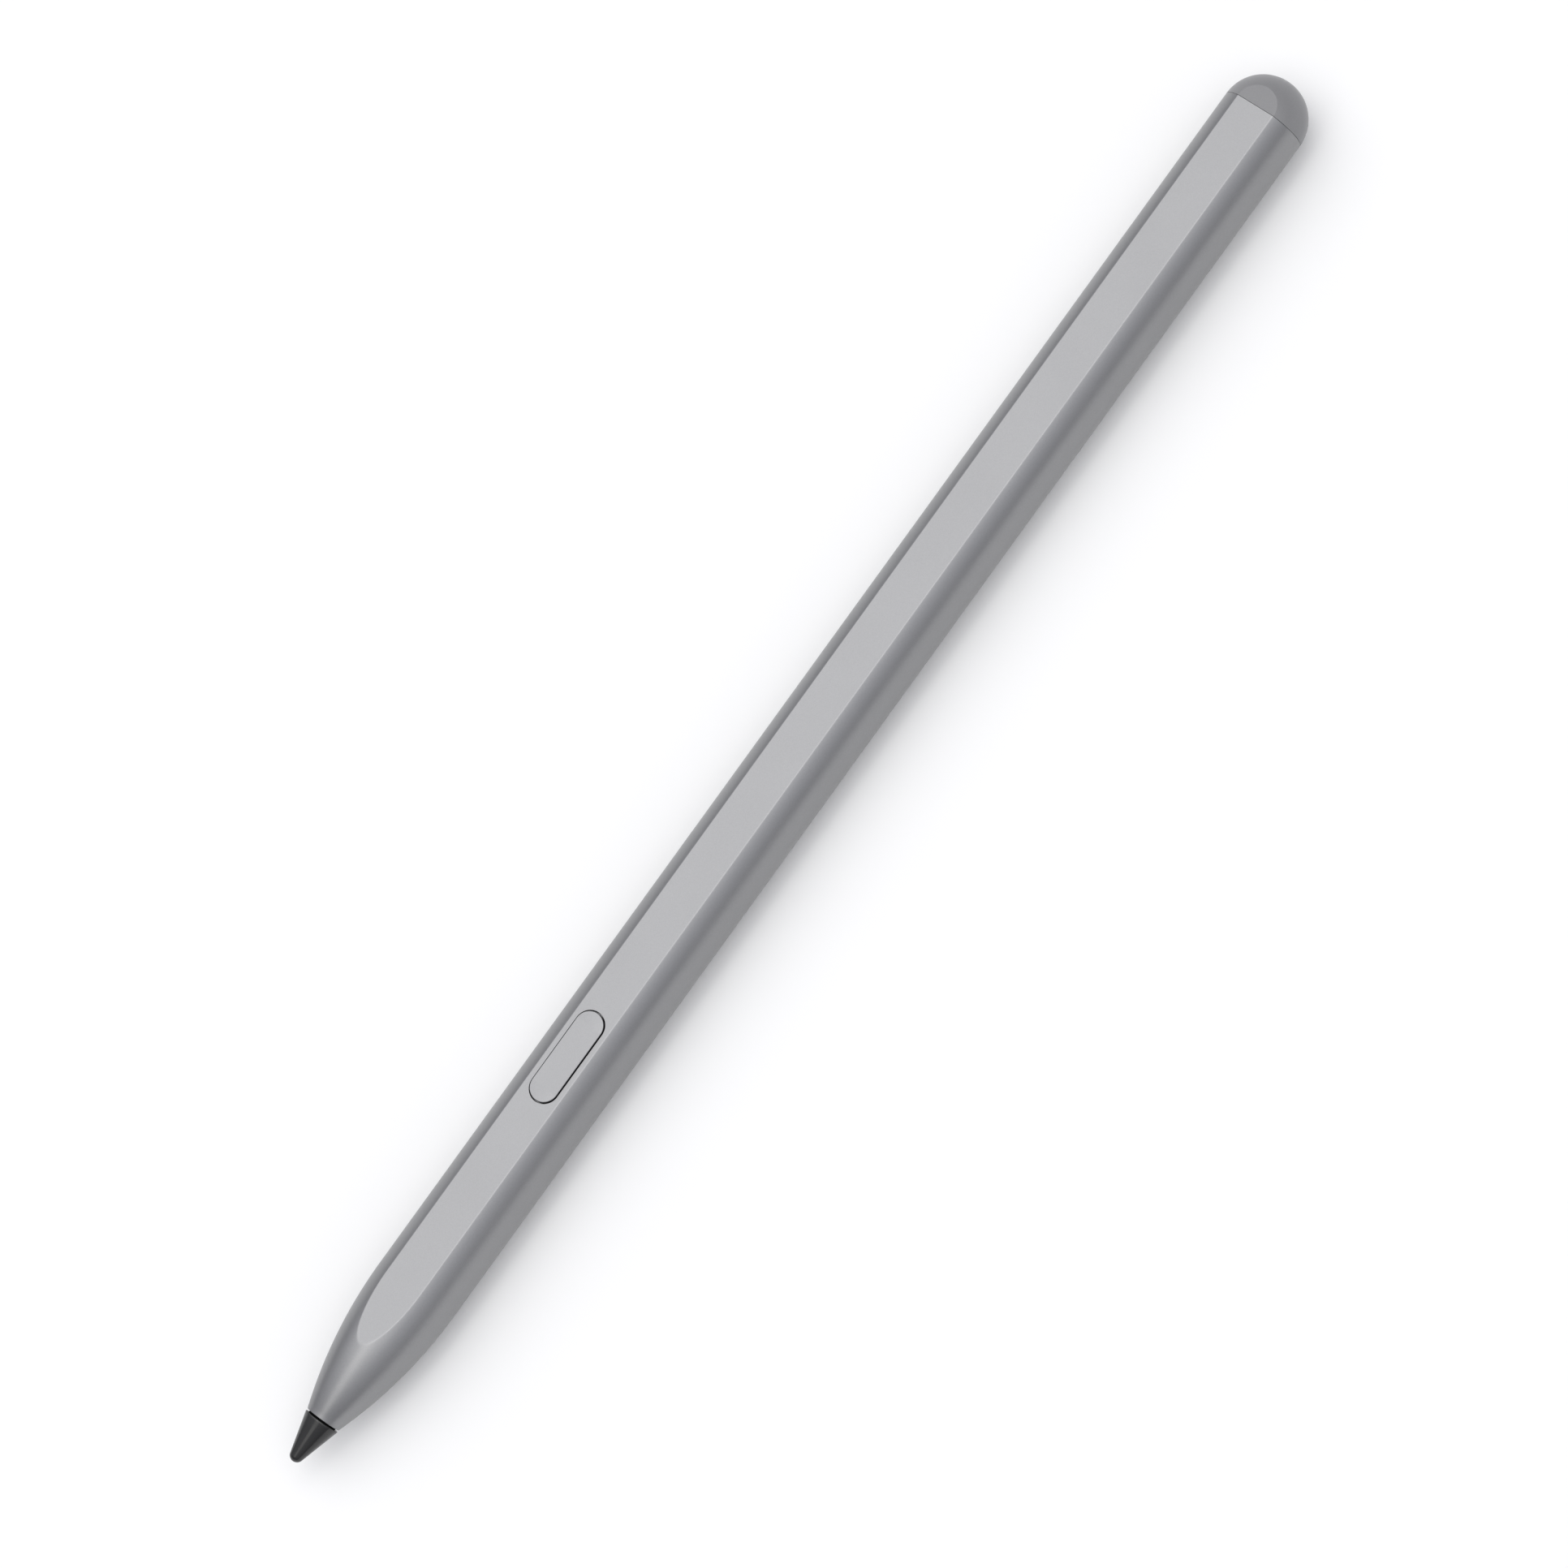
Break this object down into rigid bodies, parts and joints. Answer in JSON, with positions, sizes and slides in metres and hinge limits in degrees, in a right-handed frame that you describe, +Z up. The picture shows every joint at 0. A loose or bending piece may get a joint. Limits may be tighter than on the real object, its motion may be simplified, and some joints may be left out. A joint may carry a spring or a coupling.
{
  "type": "stylus pen",
  "caption": "Slim round stylus pen with a flat docking face, pill-shaped side button, pointed nose with a sprung replaceable nib, and a domed tail cap.",
  "frame": {"origin": "on the surface that the pen lies on, under the middle of its length, below its axis", "axes": "+X along the pen from nib to tail, +Z up, square to the flat, +Y across the flat"},
  "size_m": [0.166, 0.0088, 0.0086],
  "materials": {
    "barrel_paint": "satin grey metallic lacquer on plastic",
    "cap_plastic": "satin grey plastic",
    "nib_plastic": "satin black hard plastic",
    "brass": "turned brass",
    "plate_metal": "nickel-plated strip",
    "spring_steel": "bright steel",
    "sensor_ceramic": "glazed ceramic",
    "bush_plastic": "natural acetal",
    "copper": "bare copper",
    "switch_plastic": "moulded black plastic",
    "plunger_plastic": "moulded ivory plastic",
    "frame_plastic": "glass-filled dark plastic",
    "board_laminate": "solder-masked laminate",
    "chip_resin": "moulded black resin",
    "can_steel": "plated steel can",
    "capacitor_ceramic": "ceramic with tinned ends",
    "flex_film": "amber film",
    "magnet_nickel": "nickel-plated magnet",
    "ferrite": "sintered ferrite",
    "cell_can": "drawn can",
    "pad_rubber": "silicone rubber"
  },
  "bodies": {
    "housing": {"barrel": "barrel_paint", "end_cap": "cap_plastic", "battery_tabs": "plate_metal", "return_spring": "spring_steel", "board_screws": "spring_steel", "force_sensor": "sensor_ceramic", "antenna_chip": "sensor_ceramic", "guide_bush": "bush_plastic", "tilt_electrode": "copper", "charging_coil": "copper", "button_switch": "switch_plastic", "cell_header": "switch_plastic", "front_frame": "frame_plastic", "dock_carrier": "frame_plastic", "battery_tray": "frame_plastic", "main_board": "board_laminate", "antenna_board": "board_laminate", "processor_chip": "chip_resin", "radio_chip": "chip_resin", "crystal_can": "can_steel", "board_capacitors": "capacitor_ceramic", "sensor_flex": "flex_film", "power_flex": "flex_film", "dock_magnets": "magnet_nickel", "coil_ferrite": "ferrite", "battery_cell": "cell_can", "end_pad": "pad_rubber"},
    "button": {"side_button": "barrel_paint", "switch_plunger": "plunger_plastic"},
    "tip_carrier": {"nib_holder": "brass", "force_plate": "plate_metal"},
    "nib": {"nib": "nib_plastic"}
  },
  "joints": [
    {"name": "button_press", "type": "slide", "parent": "housing", "child": "button", "axis": [0, 0, -1], "range_m": [0, 0.0002], "stiffness_N_per_m": 4000, "springref_m": -0.0001},
    {"name": "nib_press", "type": "slide", "parent": "housing", "child": "tip_carrier", "axis": [1, 0, 0], "range_m": [0, 0.00013], "stiffness_N_per_m": 10000, "springref_m": -0.00001, "deforming": ["return_spring"]},
    {"name": "nib_pull", "type": "slide", "parent": "tip_carrier", "child": "nib", "axis": [-1, 0, 0], "range_m": [0, 0.012]}
  ]
}
